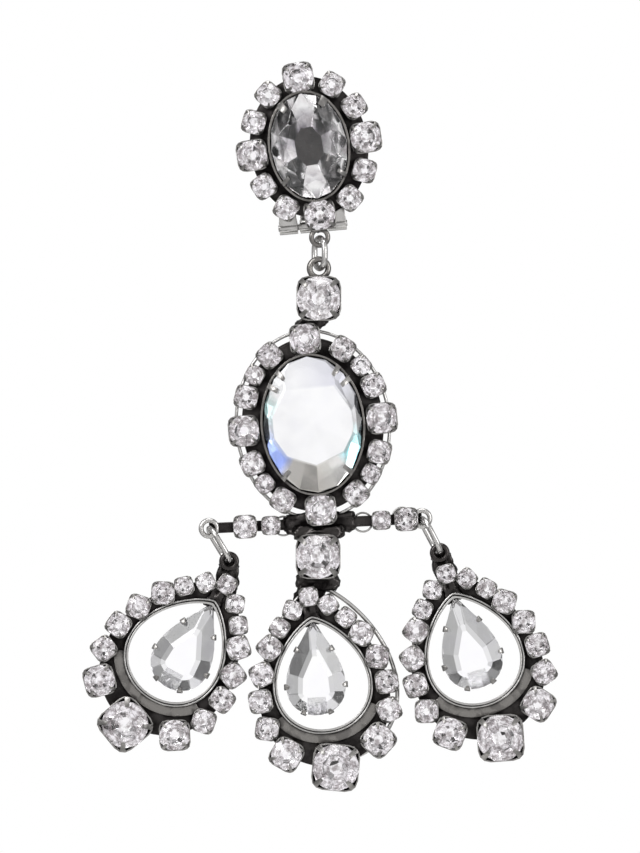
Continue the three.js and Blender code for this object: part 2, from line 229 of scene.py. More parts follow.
aim = tuple(middle)
soft_box("key_box", (-0.45, -0.55, 0.35), aim, 0.35, 0.5, 4.0)
soft_box("fill_box", (0.55, -0.5, 0.05), aim, 0.25, 0.5, 2.0)
soft_box("top_box", (0.0, -0.1, 0.6), aim, 0.5, 0.3, 2.5)
print("three soft boxes round the earring")

# %% [markdown]
# ## Nodes
#
# The light and the materials are node trees. These helpers add a node with its inputs fed, and
# take the steps that come again and again: a ramp, a noise, a mix, a sum and a new material.

# %% Node helpers
WHITE = (1.0, 1.0, 1.0, 1)


def feed(made, inputs):
    """Gives inputs of a node their plain value, or the output that drives them."""
    for name, value in inputs.items():
        if isinstance(value, bpy.types.NodeSocket):
            made.id_data.links.new(value, made.inputs[name])
        else:
            made.inputs[name].default_value = value
    return made


def node(tree, kind, inputs=None, **settings):
    made = tree.nodes.new(kind)
    for key, value in settings.items():
        setattr(made, key, value)
    return feed(made, inputs or {})


def ramp(tree, factor, stops):
    """The tone or colour that a ramp gives to a value."""
    made = node(tree, "ShaderNodeValToRGB", {"Fac": factor})
    points = made.color_ramp.elements
    while len(points) < len(stops):
        points.new(0.5)
    for point, (position, colour) in zip(points, stops):
        point.position = position
        if isinstance(colour, (int, float)):
            colour = (colour, colour, colour)
        point.color = (*colour, 1)
    return made.outputs["Color"]


def noise(tree, scale, detail=2.0, where=None):
    """Cloudy noise on the finished earring, or on the coordinates given."""
    if where is None:
        where = node(tree, "ShaderNodeTexCoord").outputs["Object"]
    inputs = {"Vector": where, "Scale": scale, "Detail": detail}
    return node(tree, "ShaderNodeTexNoise", inputs).outputs["Fac"]


def mixed(tree, factor, a, b, blend="MIX"):
    inputs = {"Factor": factor, "A": a, "B": b}
    made = node(tree, "ShaderNodeMix", inputs, data_type="RGBA", blend_type=blend)
    return made.outputs["Result"]


def calculated(tree, operation, *values):
    inputs = dict(enumerate(values))
    return node(tree, "ShaderNodeMath", inputs, operation=operation).outputs["Value"]


def new_material(name, inputs):
    """A material and its shader."""
    made = bpy.data.materials.new(name)
    made.use_nodes = True
    return made, feed(made.node_tree.nodes["Principled BSDF"], inputs)


print("the node helpers are ready")

# %% [markdown]
# The tent's panels are a low noise pattern on the world's own direction, pushed apart into light
# and dark. It is plain white straight behind the earring, so that clear crystals look clear, and
# round the camera and a little below it, so that flat faces and upper facets shine. The far side
# is dimmer, which outlines the wires.

# %% The light tent
PANELS_AT, PANEL_SCALE = (3.1, 0.4, 1.7), 3.4
WHITE_RISES = math.radians(-9)
world = bpy.data.worlds.new("light_tent")
bpy.context.scene.world = world
world.use_nodes = True
tent = world.node_tree
tent.nodes.clear()
direction = node(tent, "ShaderNodeTexCoord").outputs["Generated"]
hung_up = node(tent, "ShaderNodeMapping", {"Vector": direction, "Location": PANELS_AT})
panels = noise(tent, PANEL_SCALE, 1.0, hung_up.outputs["Vector"])
panel_tone = ramp(tent, panels, [(0.33, 0.05), (0.42, 0.25), (0.50, 0.58), (0.62, 1.2)])
white_axis = (0, math.cos(WHITE_RISES), -math.sin(WHITE_RISES))
along_view = node(tent, "ShaderNodeVectorMath", {0: direction, 1: white_axis},
                  operation="DOT_PRODUCT")
front_to_back = calculated(tent, "MULTIPLY_ADD", along_view.outputs["Value"], 0.5, 0.5)
white_ends = ramp(tent, front_to_back, [(0.015, 1.0), (0.045, 0.0), (0.955, 0.0), (0.985, 1.0)])
far_side = ramp(tent, front_to_back, [(0.50, 1.0), (0.72, 0.62)])
tone = mixed(tent, white_ends, mixed(tent, 1.0, panel_tone, far_side, "MULTIPLY"), WHITE)
path = node(tent, "ShaderNodeLightPath")
lit = node(tent, "ShaderNodeBackground", {"Color": tone})
seen = node(tent, "ShaderNodeBackground", {"Color": WHITE})
either = node(tent, "ShaderNodeMixShader", {
    "Fac": path.outputs["Is Camera Ray"],
    1: lit.outputs["Background"],
    2: seen.outputs["Background"],
})
node(tent, "ShaderNodeOutputWorld", {"Surface": either.outputs["Shader"]})
bpy.context.scene.view_settings.view_transform = "Standard"
print("the tent has", len(tent.nodes), "nodes")

# %% The floor
FLOOR_DROP, FLOOR_RADIUS, FLOOR_THICK = 0.16, 0.22, 0.004
bpy.ops.object.select_all(action="DESELECT")
bpy.ops.mesh.primitive_cylinder_add(
    vertices=96, radius=FLOOR_RADIUS, depth=FLOOR_THICK,
    location=(middle.x, middle.y, low.z - FLOOR_DROP),
)
floor = bpy.context.object
floor.name = "floor"
floor_paint, _ = new_material("floor_paint", {"Base Color": (0.86, 0.86, 0.85, 1),
                                              "Roughness": 0.7})
floor.data.materials.append(floor_paint)
print("the floor lies", FLOOR_DROP, "m below the lowest stone")

# %% [markdown]
# ## Old silver
#
# The metal is silver plate that has been darkened and rubbed back: light on edges and claws,
# nearly black in every hollow. One node group does this for all the metal. It finds hollows by
# how little open sky a point sees, finds edges the same way from inside the metal, and adds a
# cloudy tarnish. Each material gives it its own light and dark colours.

# %% The tarnish group
EDGE_REACH, CLOUD_SCALE, GRAIN_SCALE, GRAIN_HEIGHT = 0.0003, 700, 5000, 0.00004


def socket(group, name, in_out, kind, default=None):
    made = group.interface.new_socket(name=name, in_out=in_out, socket_type=f"NodeSocket{kind}")
    if default is not None:
        made.default_value = default
    return made


tarnish = bpy.data.node_groups.new("tarnished_silver", "ShaderNodeTree")
socket(tarnish, "Light", "INPUT", "Color", (0.7, 0.69, 0.67, 1))
socket(tarnish, "Dark", "INPUT", "Color", (0.03, 0.027, 0.027, 1))
socket(tarnish, "Hollow Reach", "INPUT", "Float", 0.0012)
socket(tarnish, "Tarnish", "INPUT", "Float", 0.4)
socket(tarnish, "Color", "OUTPUT", "Color")
socket(tarnish, "Roughness", "OUTPUT", "Float")
socket(tarnish, "Height", "OUTPUT", "Float")
given = node(tarnish, "NodeGroupInput").outputs
hollow = node(tarnish, "ShaderNodeAmbientOcclusion", {"Distance": given["Hollow Reach"]},
              samples=6, only_local=True)
edge = node(tarnish, "ShaderNodeAmbientOcclusion", {"Distance": EDGE_REACH},
            samples=4, only_local=True, inside=True)
open_sky = ramp(tarnish, hollow.outputs["AO"], [(0.35, 0.0), (0.92, 1.0)])
worn = ramp(tarnish, edge.outputs["AO"], [(0.30, 0.0), (0.75, 1.0)])
clouds = ramp(tarnish, noise(tarnish, CLOUD_SCALE, 4), [(0.38, 0.0), (0.62, 1.0)])
clouded = calculated(tarnish, "MULTIPLY", clouds, given["Tarnish"])
clean = calculated(tarnish, "SUBTRACT", open_sky, clouded)
rubbed = calculated(tarnish, "MULTIPLY", worn, 0.5)
clean_edges = calculated(tarnish, "ADD", clean, rubbed)
clean_edges.node.use_clamp = True
node(tarnish, "NodeGroupOutput", {
    "Color": mixed(tarnish, clean_edges, given["Dark"], given["Light"]),
    "Roughness": ramp(tarnish, clean_edges, [(0.0, 0.62), (1.0, 0.24)]),
    "Height": noise(tarnish, GRAIN_SCALE),
})
print("the tarnish group has", len(tarnish.nodes), "nodes")

# %% The metals
def silver(name, light, dark, reach, amount, bump):
    made, shader = new_material(name, {"Metallic": 1.0})
    aged = node(made.node_tree, "ShaderNodeGroup", {
        "Light": (*light, 1), "Dark": (*dark, 1), "Hollow Reach": reach, "Tarnish": amount,
    }, node_tree=tarnish).outputs
    relief = node(made.node_tree, "ShaderNodeBump", {
        "Strength": bump, "Distance": GRAIN_HEIGHT, "Height": aged["Height"],
    })
    feed(shader, {"Base Color": aged["Color"], "Roughness": aged["Roughness"],
                  "Normal": relief.outputs["Normal"]})
    return made


CUP_SILVER = silver("cup_silver", (0.32, 0.31, 0.30), (0.012, 0.011, 0.011), 0.0014, 0.5, 0.5)
WIRE_SILVER = silver("wire_silver", (0.50, 0.49, 0.48), (0.05, 0.048, 0.047), 0.0007, 0.35, 0.3)
FOOT_SILVER = silver("foot_silver", (0.22, 0.21, 0.20), (0.02, 0.018, 0.018), 0.0009, 0.8, 0.8)
PLATE_SILVER = silver("plate_silver", (0.05, 0.046, 0.045), (0.007, 0.006, 0.006), 0.0020, 0.6, 0.7)
print("metals:", CUP_SILVER.name, WIRE_SILVER.name, FOOT_SILVER.name, PLATE_SILVER.name)

# %% [markdown]
# ## Glass and foil
#
# A rhinestone is clear glass with silver foil baked onto its back. Light goes in through the
# crown, bounces off the foiled facets and comes out again, so a stone is one closed body with
# glass above its girdle and mirror below. The foil has yellowed in patches with age.

# %% Glass and foil
AURORA_COLOURS = [
    (0.00, (0.62, 0.68, 0.78)), (0.04, (0.38, 0.48, 0.85)), (0.13, (0.30, 0.40, 0.85)),
    (0.16, (0.62, 0.60, 0.56)), (0.25, (0.60, 0.575, 0.53)), (0.34, (0.66, 0.66, 0.64)),
    (0.37, (0.42, 0.78, 0.82)), (0.46, (0.47, 0.80, 0.84)), (0.50, (0.42, 0.42, 0.44)),
    (0.58, (0.50, 0.50, 0.52)), (0.66, (0.85, 0.85, 0.92)), (0.80, (0.97, 0.97, 0.98)),
    (0.88, (0.95, 0.96, 0.96)), (0.91, (0.42, 0.66, 0.64)), (0.96, (0.50, 0.72, 0.72)),
    (1.00, (0.62, 0.68, 0.78)),
]
HAZE_SCALE, PAINTED_DARK_RAGGED_SCALE, PAINTED_DARK_RAGGED_REACH, SOFT_REACH = 420, 0.55 / MM, 2.4, 3.6


def glass(name, tint, index):
    made, shader = new_material(name, {"Transmission Weight": 1.0, "IOR": index})
    haze = noise(made.node_tree, HAZE_SCALE)
    feed(shader, {
        "Base Color": ramp(made.node_tree, haze, [(0.35, WHITE[:3]), (0.7, tint)]),
        "Roughness": ramp(made.node_tree, haze, [(0.4, 0.0), (0.8, 0.035)]),
    })
    return made


def foil(name, bright, aged, scale, spots=(0.42, 0.72)):
    made, shader = new_material(name, {"Metallic": 1.0})
    patches = noise(made.node_tree, scale, 3)
    feed(shader, {
        "Base Color": ramp(made.node_tree, patches, [(spots[0], bright), (spots[1], aged)]),
        "Roughness": ramp(made.node_tree, patches, [(0.3, 0.04), (0.8, 0.22)]),
    })
    return made


def recoloured(made, share, colour):
    """Mixes another colour over a material's own, by a share."""
    base = made.node_tree.nodes["Principled BSDF"].inputs["Base Color"]
    own = base.links[0].from_socket
    made.node_tree.links.new(mixed(made.node_tree, share, own, colour), base)
    return made


def distance_from(tree, place):
    """The vector from a place's axis to a point of the finished earring, in its own directions."""
    shift = node(tree, "ShaderNodeMapping", {
        "Vector": node(tree, "ShaderNodeTexCoord").outputs["Object"],
        "Location": (place.x * MM, 0, place.y * MM),
        "Rotation": (0, -math.radians(place.turn), 0),
    }, vector_type="TEXTURE")
    flat = node(tree, "ShaderNodeVectorMath", {0: shift.outputs["Vector"], 1: (1 / MM, 0, 1 / MM)},
                operation="MULTIPLY")
    return flat.outputs["Vector"]


def dark_foil(name, place, reach):
    """Foil with a painted dark reflection round the middle of a stone: the darker surroundings its
    steep facets would show, painted into the foil colour.
    """
    made = foil(name, (0.95, 0.95, 0.95), (0.80, 0.77, 0.77), 500)
    tree = made.node_tree
    away = node(tree, "ShaderNodeVectorMath", {0: distance_from(tree, place)}, operation="LENGTH")
    uneven = calculated(tree, "MULTIPLY_ADD", noise(tree, PAINTED_DARK_RAGGED_SCALE), PAINTED_DARK_RAGGED_REACH,
                        away.outputs["Value"])
    spread = calculated(tree, "DIVIDE", uneven, reach + SOFT_REACH)
    # The painted dark reflection: a purple grey mixed over the foil, strongest near the middle and
    # fading out with a ragged edge.
    return recoloured(made, ramp(tree, spread, [(0.55, 1.0), (1.0, 0.0)]), (0.24, 0.22, 0.25, 1))


def aurora(name, place, index):
    """Glass whose sloping facets have a faint coating, of a colour that goes with the bearing."""
    made = glass(name, (0.99, 0.99, 1.0), index)
    tree = made.node_tree
    turned = node(tree, "ShaderNodeMapping", {
        "Vector": distance_from(tree, place), "Rotation": (math.radians(-90), 0, 0),
    })
    bearing = node(tree, "ShaderNodeTexGradient", {"Vector": turned.outputs["Vector"]},
                   gradient_type="RADIAL")
    colours = ramp(tree, bearing.outputs["Fac"], AURORA_COLOURS)
    surface = node(tree, "ShaderNodeTexCoord")
    facing = node(tree, "ShaderNodeSeparateXYZ", {"Vector": surface.outputs["Normal"]})
    level = calculated(tree, "ABSOLUTE", facing.outputs["Y"])
    return recoloured(made, ramp(tree, level, [(0.993, 1.0), (0.998, 0.0)]), colours)


CLEAR_GLASS = glass("clear_glass", (0.97, 0.95, 0.98), 1.56)
OPEN_GLASS = glass("open_glass", (0.97, 0.96, 1.0), 1.52)
AURORA_GLASS = aurora("aurora_glass", MEDALLION, 1.56)
SILVER_FOIL = foil("silver_foil", (0.96, 0.95, 0.96), (0.42, 0.39, 0.395), 1300, (0.47, 0.64))
FRESH_FOIL = foil("fresh_foil", (0.98, 0.98, 0.99), (0.93, 0.93, 0.95), 200)
# Painted dark reflection: the stud oval's foil is darkened round a point just above its middle, as
# its facets would show darker surroundings.
FOIL_WITH_PAINTED_DARK_MIDDLE = dark_foil("dark_foil", on(STUD, 0, 1.0), 1.4)
print("glass:", CLEAR_GLASS.name, OPEN_GLASS.name, AURORA_GLASS.name)
print("foil:", SILVER_FOIL.name, FOIL_WITH_PAINTED_DARK_MIDDLE.name)

# %% [markdown]
# ## The bench
#
# A few helpers stand for what the hands do: put a blank on the bench, pick faces or edges by
# where they are, soften hard edges, give a surface, and set down a copy at its place.

# %% Bench helpers
BENCH = []
SHARP = math.radians(35)


def blank(shape, name, **how):
    """Puts a primitive on the bench, alone selected, with its place, turn and scale applied."""
    bpy.ops.object.select_all(action="DESELECT")
    getattr(bpy.ops.mesh, f"primitive_{shape}_add")(**how)
    bpy.ops.object.transform_apply(location=True, rotation=True, scale=True)
    made = bpy.context.object
    made.name = made.data.name = name
    BENCH.append(made)
    return made


def take_up(obj):
    """Selects one object alone and makes it the active one."""
    bpy.ops.object.select_all(action="DESELECT")
    bpy.context.view_layer.objects.active = obj
    obj.select_set(True)


def open_up(obj, mode="FACE", selected="DESELECT"):
    """Edit mode with nothing selected, or all of it."""
    take_up(obj)
    bpy.ops.object.mode_set(mode="EDIT")
    bpy.ops.mesh.select_mode(type=mode)
    bpy.ops.mesh.select_all(action=selected)


def close_up():
    bpy.ops.object.mode_set(mode="OBJECT")


def pick(obj, parts, test):
    """Selects the faces, edges or verts that pass a test on their middle and themselves."""
    shape = bmesh.from_edit_mesh(obj.data)
    bpy.ops.mesh.select_all(action="DESELECT")
    for part in getattr(shape, parts):
        if parts == "verts":
            spot = part.co
        else:
            spot = sum((v.co for v in part.verts), Vector()) / len(part.verts)
        if test(spot, part):
            part.select_set(True)
    shape.select_flush_mode()
    bmesh.update_edit_mesh(obj.data)


def looks_up(spot, face):
    return face.normal.z > 0.9


def looks_down(spot, face):
    return face.normal.z < -0.9


def push(value):
    bpy.ops.mesh.extrude_region_move(TRANSFORM_OT_translate={"value": value})


def draw_in(x, y, z=1.0, about=(0, 0, 0)):
    bpy.ops.transform.resize(value=(x, y, z), center_override=about)


def rise_and_draw_in(rise, x, y):
    push((0, 0, rise))
    draw_in(x, y)


def step_in(width, rise):
    """Insets the selected face and moves the middle up or down."""
    bpy.ops.mesh.inset(thickness=width)
    push((0, 0, rise))


def finish_with(obj, kind, name, **settings):
    """Adds a modifier and applies it."""
    take_up(obj)
    made = obj.modifiers.new(name, kind)
    for key, value in settings.items():
        setattr(made, key, value)
    bpy.ops.object.modifier_apply(modifier=name)


def soften(obj, width, segments=2):
    finish_with(obj, "BEVEL", "soft_edges", width=width, segments=segments,
                limit_method="ANGLE", angle_limit=SHARP)
    bpy.ops.object.shade_smooth_by_angle(angle=SHARP)


def facing_out(obj):
    open_up(obj, selected="SELECT")
    bpy.ops.mesh.remove_doubles(threshold=1e-5)
    bpy.ops.mesh.normals_make_consistent(inside=False)
    close_up()


def surfaced(obj, *materials):
    obj.data.materials.clear()
    for material in materials:
        obj.data.materials.append(material)
    return obj


def done(obj, edge, metal, segments=2):
    """Closes a piece up with soft edges of a width, in its metal."""
    close_up()
    facing_out(obj)
    soften(obj, edge, segments)
    return surfaced(obj, metal)


def set_down(model, name, place, size=(1, 1, 1), tilt=(0, 0)):
    """A copy of a bench model with its own mesh, at its place, tilted by degrees about x and y."""
    mesh = model.data.copy()
    leaning = (Matrix.Rotation(math.radians(tilt[0]), 4, "X")
               @ Matrix.Rotation(math.radians(tilt[1]), 4, "Y"))
    mesh.transform(stood_up(place) @ leaning @ Matrix.Diagonal((*size, 1)))
    made = bpy.data.objects.new(name, mesh)
    mesh.name = name
    bpy.context.scene.collection.objects.link(made)
    return made


def joined(name, objects):
    bpy.ops.object.select_all(action="DESELECT")
    for obj in objects:
        obj.select_set(True)
    bpy.context.view_layer.objects.active = objects[0]
    bpy.ops.object.join()
    made = bpy.context.object
    made.name = made.data.name = name
    return made


def add(work, model, name, place):
    """Sets down a copy with the metal of a body."""
    work["metal"].append(set_down(model, name, place))


print("the bench is ready")

# %% [markdown]
# ## Cutting a stone
#
# A cutter holds the stone at a slope and a bearing and grinds one flat. Bisect does the same: it
# takes away all beyond a plane and closes the cut. Sixteen-sided blanks get a table, eight
# mains, eight stars and sixteen girdle facets above, and mains and halves below.

# %% Facets
GLASS_FACE, FOIL_FACE = 0, 1


def facet(slope, bearing, radius, height):
    """Grinds one flat that leans by slope, through a point at a radius and a height."""
    lean, round_by = math.radians(slope), math.radians(bearing)
    outward = Vector((math.cos(round_by), math.sin(round_by), 0))
    normal = outward * math.sin(lean) + Vector((0, 0, math.cos(lean)))
    bpy.ops.mesh.select_all(action="SELECT")
    bpy.ops.mesh.bisect(
        plane_co=outward * radius + Vector((0, 0, height)), plane_no=normal,
        use_fill=True, clear_outer=True, threshold=1e-6,
    )


def foil_below(obj):
    """The faces that look down take the foil."""
    for polygon in obj.data.polygons:
        polygon.material_index = FOIL_FACE if polygon.normal.z < -0.02 else GLASS_FACE


EVEN = [45 * step for step in range(8)]
SIXTEENTH = 22.5
STAR_REACH, MAIN_HEIGHT, HALF_HEIGHT = 0.55, 0.05, 0.035
BACK_MAIN_HEIGHT, BACK_HALF_HEIGHT, BACK_HALF_STEEPER = -0.04, -0.03, 3


def cut_round(name, table_height, mains, stars, halves, back, culet, above, below):
    """mains is one slope for eight even facets, or the slope of each bearing."""
    stone = blank("cylinder", name, vertices=16, radius=1, depth=3)
    open_up(stone)
    facet(0, 0, 0, table_height)
    facet(180, 0, 0, -culet)
    for turn, slope in (mains if isinstance(mains, dict) else dict.fromkeys(EVEN, mains)).items():
        facet(slope, turn, 1.0, MAIN_HEIGHT)
    for turn in EVEN:
        facet(180 - back, turn, 1.0, BACK_MAIN_HEIGHT)
        if stars:
            facet(stars, turn + SIXTEENTH, STAR_REACH, table_height)
    for step in range(16):
        turn = SIXTEENTH / 2 + SIXTEENTH * step
        facet(halves, turn, 1.0, HALF_HEIGHT)
        facet(180 - back - BACK_HALF_STEEPER, turn, 1.0, BACK_HALF_HEIGHT)
    close_up()
    facing_out(stone)
    finish_with(stone, "BEVEL", "ground_edges", width=0.03, segments=1,
                limit_method="ANGLE", angle_limit=math.radians(7))
    surfaced(stone, above, below)
    foil_below(stone)
    return stone


ROUND_STONE = cut_round("round_stone", 0.34, 33, 18, 40, 39, 0.62, CLEAR_GLASS, SILVER_FOIL)
STUD_CRYSTAL = cut_round("stud_crystal", 0.36, 40, 20, 47, 35, 0.62, CLEAR_GLASS, FOIL_WITH_PAINTED_DARK_MIDDLE)
LONG_CROWN = {0: 26, 40: 18.5, 90: 11.5, 140: 18.5, 180: 26,
              220: 18.5, 254: 12.5, 286: 12.5, 320: 18.5}
MEDALLION_CRYSTAL = cut_round("medallion_crystal", 0.145, LONG_CROWN, 0, 38, 3, 0.5,
                              AURORA_GLASS, FRESH_FOIL)
print("facets on a round stone:", len(ROUND_STONE.data.polygons))

# %% [markdown]
# ## A claw cup
#
# Each round stone sits in a square box cup whose corners rise into claws and fold over the
# stone. The cup starts as a cube with its upright edges rounded. The top is inset and pushed
# down for the stone's room, and the middle face of each corner is pulled up and inwards as a
# claw. Set by hand, every stone is a little turned and tilted, so that each catches the light
# in its own way.

# %% The cup
CUP_WALL, CUP_RIM, CUP_PLAY = 0.2, -0.2, 0.02
ROUNDED, FOOT_SHARE, ROOM_SHARE, CLAWS_FROM = 0.52, 0.78, 0.62, 0.68


def claw_cup(name, kind):
    """A square cup for a stone of this kind, whose girdle lies at height 0."""
    radius = kind.size / 2
    half = radius + CUP_PLAY
    cup = blank("cube", name, size=1, location=(0, 0, (CUP_RIM - kind.depth) / 2),
                scale=(2 * half, 2 * half, kind.depth + CUP_RIM))
    open_up(cup, "EDGE")
    pick(cup, "edges", lambda spot, e: abs(e.verts[0].co.z - e.verts[1].co.z) > 0.1)
    bpy.ops.mesh.bevel(offset=ROUNDED * radius, segments=3)
    bpy.ops.mesh.select_mode(type="FACE")
    pick(cup, "faces", looks_down)
    draw_in(FOOT_SHARE, FOOT_SHARE)
    pick(cup, "faces", looks_up)
    step_in(CUP_WALL, -ROOM_SHARE * kind.depth - CUP_RIM)
    draw_in(0.6, 0.6)
    pick(cup, "faces", lambda spot, f: looks_up(spot, f) and spot.z > CUP_RIM - 0.01
         and min(abs(spot.x), abs(spot.y)) > CLAWS_FROM * half)
    push((0, 0, 0.05 - CUP_RIM))
    rise_and_draw_in(0.22 * radius, 0.80, 0.80)
    rise_and_draw_in(0.1 * radius, 0.82, 0.82)
    return done(cup, 0.06, CUP_SILVER)


CUPS = {name: claw_cup(f"cup_{name}", kind) for name, kind in KINDS.items()}
print("faces on one cup:", len(CUPS["small"].data.polygons))

# %% Setting round stones
SETTING_HAND = random.Random(11)
MOST_TILT, MOST_TWIST = 4.5, 20


def set_round(work, kind_name, place, stone_name=None):
    """Adds a cup and its cut stone. work gathers the metal and the loose small stones."""
    kind = KINDS[kind_name]
    seat = place._replace(depth=place.depth + kind.girdle)
    add(work, CUPS[kind_name], "cup", seat)
    radius = kind.size / 2
    twist = SETTING_HAND.uniform(-MOST_TWIST, MOST_TWIST)
    tilt = [SETTING_HAND.uniform(-MOST_TILT, MOST_TILT) for _ in range(2)]
    stone = set_down(ROUND_STONE, stone_name or "stone", seat._replace(turn=seat.turn + twist),
                     (radius, radius, radius), tilt)
    (work["named"] if stone_name else work["loose"]).append(stone)


def new_work():
    return {"metal": [], "loose": [], "named": []}


print("a stone is turned by up to", MOST_TWIST, "degrees and tilted by up to", MOST_TILT)

# %% [markdown]
# ## The oval crystals
#
# The two large ovals sit in deep bezels with small claws round the rim. A bezel is a cylinder
# drawn out to an ellipse, with its top inset and pushed down, and the rim faces nearest to each
# claw's bearing pulled up and folded in.

# %% Oval bezels
BEZEL_RIM, BEZEL_WALL, BEZEL_PLAY, CLAW_REACH = -0.5, 0.3, 0.1, 0.44


def on_oval(across, along, degrees):
    angle = math.radians(degrees)
    return across * math.cos(angle), along * math.sin(angle)


def claws_at(obj, bearings, across, along):
    """Selects the rim faces nearest to each bearing on an oval rim."""
    spots = [Vector(on_oval(across, along, bearing)) for bearing in bearings]
    pick(obj, "faces", lambda spot, f: looks_up(spot, f) and spot.z > BEZEL_RIM - 0.01
         and min((spot.xy - s).length for s in spots) < CLAW_REACH)


def oval_bezel(name, across, along, depth, bearings):
    bezel = blank("cylinder", name, vertices=72, radius=1, depth=depth,
                  location=(0, 0, BEZEL_RIM - depth / 2))
    open_up(bezel, selected="SELECT")
    draw_in(across + BEZEL_PLAY + BEZEL_WALL, along + BEZEL_PLAY + BEZEL_WALL)
    pick(bezel, "faces", looks_down)
    draw_in(0.90, 0.90)
    pick(bezel, "faces", looks_up)
    step_in(BEZEL_WALL, -0.7 * depth)
    draw_in(0.6, 0.6)
    wall_middle = BEZEL_PLAY + BEZEL_WALL / 2
    claws_at(bezel, bearings, across + wall_middle, along + wall_middle)
    push((0, 0, 0.3 - BEZEL_RIM))
    rise_and_draw_in(0.5, 0.89, 0.92)
    rise_and_draw_in(0.2, 0.90, 0.93)
    close_up()
    facing_out(bezel)
    surfaced(bezel, PLATE_SILVER, FOOT_SILVER, CUP_SILVER)
    for polygon in bezel.data.polygons:
        over_rim = polygon.center.z - BEZEL_RIM
        polygon.material_index = (over_rim > -0.02) + (over_rim > 0.1)
    soften(bezel, 0.07)
    return bezel


STUD_OVAL = {"across": 5.0, "along": 7.0, "girdle": 1.8, "depth": 2.5,
             "model": STUD_CRYSTAL, "claws": (55, 126, 218, 322)}
MEDALLION_OVAL = {"across": 6.5, "along": 9.0, "girdle": 1.7, "depth": 3.4,
                  "model": MEDALLION_CRYSTAL, "claws": (37, 54, 126, 143, 228, 312)}
for prefix, oval in (("stud", STUD_OVAL), ("medallion", MEDALLION_OVAL)):
    oval["bezel"] = oval_bezel(f"{prefix}_bezel", oval["across"], oval["along"], oval["depth"],
                               oval["claws"])
print("two oval bezels")

# %% [markdown]
# ## A cluster
#
# The web between the cups is a flat oval plate, dark with old solder. The stud and the medallion
# are made the same way: web, bezel, oval crystal, and a ring of stones turned to face outwards.

# %% Web plates
def oval_web(name, across, along, back, thick):
    web = blank("cylinder", name, vertices=96, radius=1, depth=thick,
                location=(0, 0, back + thick / 2))
    open_up(web, selected="SELECT")
    draw_in(across, along)
    pick(web, "faces", looks_up)
    step_in(0.25, 0.15)
    return done(web, 0.08, PLATE_SILVER)


WEB_BACK, WEB_THICK, WEB_BORDER = -1.4, 0.6, 0.2
SIDES = {0: "right", 90: "top", 180: "left", 270: "bottom"}


def cluster(prefix, place, ring, oval):
    work = new_work()
    web = oval_web(f"{prefix}_web", ring["across"] + WEB_BORDER, ring["along"] + WEB_BORDER,
                   WEB_BACK, WEB_THICK)
    add(work, web, "web", place)
    seat = place._replace(depth=place.depth + oval["girdle"])
    add(work, oval["bezel"], "bezel", seat)
    size = (oval["across"], oval["along"], oval["across"] * 0.92)
    work["named"].append(set_down(oval["model"], f"{prefix}_oval_crystal", seat, size))
    for angle, kind in ellipse_stones(ring):
        x, y = on_oval(ring["across"], ring["along"], angle)
        outwards = math.degrees(math.atan2(y / ring["along"] ** 2, x / ring["across"] ** 2))
        name = f"{prefix}_crystal_{SIDES[angle]}" if angle in SIDES else None
        set_round(work, kind, on(place, x, y, 0, outwards), name)
    return work


stud_work = cluster("stud", STUD, STUD_RING, STUD_OVAL)
pendant_work = cluster("medallion", MEDALLION, HALO, MEDALLION_OVAL)
print("stones on the stud:", len(stud_work["loose"]) + len(stud_work["named"]))

# %% [markdown]
# ## Wires, rings and loops
#
# Round wire runs along ovals and teardrops behind the stones. A closed curve with a round bevel
# gives its shape, and becomes a mesh before it is placed. Loops and jump rings are tori; the
# oval ones are cut at their middle and drawn apart.

# %% Wire
WIRE_ROUNDNESS, OVAL_STEPS, TEARDROP_STEPS = 3, 96, 120


def wire(name, points, radius):
    """Closed round wire through points of the bench."""
    curve = bpy.data.curves.new(name, "CURVE")
    curve.dimensions = "3D"
    curve.bevel_depth, curve.bevel_resolution = radius, WIRE_ROUNDNESS
    spline = curve.splines.new("POLY")
    spline.points.add(len(points) - 1)
    for spot, point in zip(spline.points, points):
        spot.co = (*point, 1)
    spline.use_cyclic_u = True
    made = bpy.data.objects.new(name, curve)
    bpy.context.scene.collection.objects.link(made)
    take_up(made)
    bpy.ops.object.convert(target="MESH")
    made = bpy.context.object
    made.name = made.data.name = name
    BENCH.append(made)
    facing_out(made)
    bpy.ops.object.shade_smooth()
    return surfaced(made, WIRE_SILVER)


def oval_points(across, along, height):
    turns = [2 * math.pi * step / OVAL_STEPS for step in range(OVAL_STEPS)]
    return [(across * math.cos(t), along * math.sin(t), height) for t in turns]


def teardrop_points(shape, height):
    turns = [360 * step / TEARDROP_STEPS for step in range(TEARDROP_STEPS)]
    return [(*on_teardrop(shape, turn), height) for turn in turns]


HALO_WIRE_ACROSS, HALO_WIRE_ALONG, HALO_WIRE_HEIGHT = 10.1, 12.4, -1.15
halo_points = oval_points(HALO_WIRE_ACROSS, HALO_WIRE_ALONG, HALO_WIRE_HEIGHT)
HALO_WIRE = wire("halo_wire", halo_points, 0.22)
add(pendant_work, HALO_WIRE, "halo_wire", MEDALLION)
print("halo wire faces:", len(HALO_WIRE.data.polygons))

# %% Loops and jump rings
def loop(name, radius, thick, metal=WIRE_SILVER):
    """A round loop that faces the viewer."""
    made = blank("torus", name, major_radius=radius, minor_radius=thick,
                 major_segments=40, minor_segments=16)
    bpy.ops.object.shade_smooth()
    return surfaced(made, metal)


